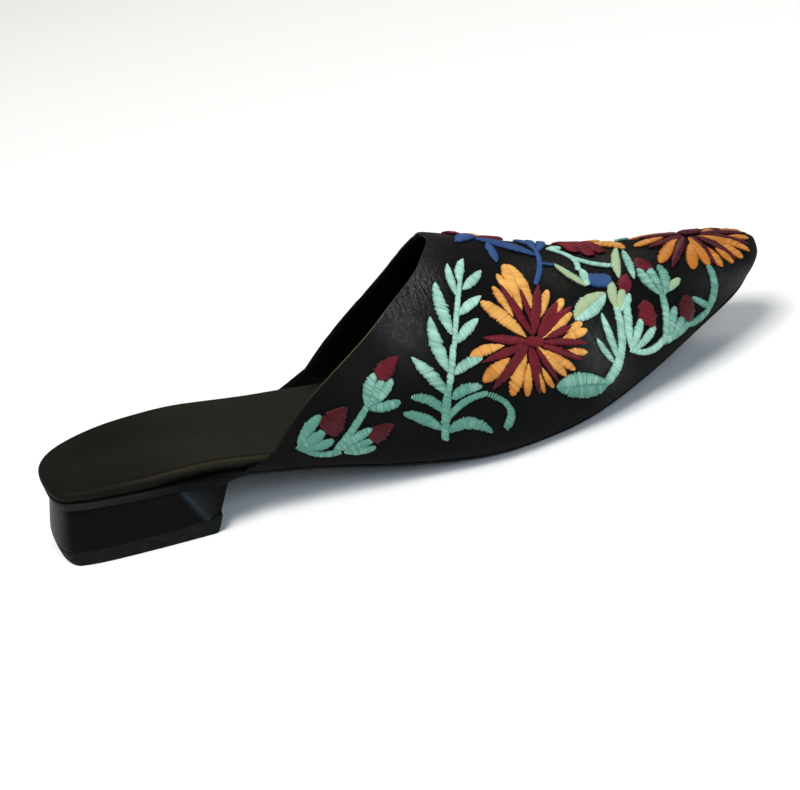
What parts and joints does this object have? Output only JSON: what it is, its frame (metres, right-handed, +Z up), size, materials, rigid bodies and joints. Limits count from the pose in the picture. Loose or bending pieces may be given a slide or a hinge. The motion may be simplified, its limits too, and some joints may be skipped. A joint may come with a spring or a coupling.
{
  "type": "loafer mule",
  "caption": "Backless leather slip-on shoe for the right foot: pointed vamp open at the back, padded insole, thin outsole with arch and toe spring, low block heel.",
  "frame": {"origin": "on the floor, under the middle of the bounding box", "axes": "+X to the toe, +Y to the inner side of the foot, +Z up; the shoe stands on its heel and the ball of its sole"},
  "size_m": [0.2864, 0.0892, 0.0733],
  "materials": {
    "upper_leather": "satin black, embroidered",
    "insole_cover": "matte dark",
    "outsole": "matte black",
    "heel_cover": "satin black",
    "heel_rubber": "matte black"
  },
  "bodies": {
    "root": {"upper": "upper_leather", "insole": "insole_cover", "outsole": "outsole", "heel_block": "heel_cover", "heel_top_piece": "heel_rubber"}
  },
  "joints": []
}
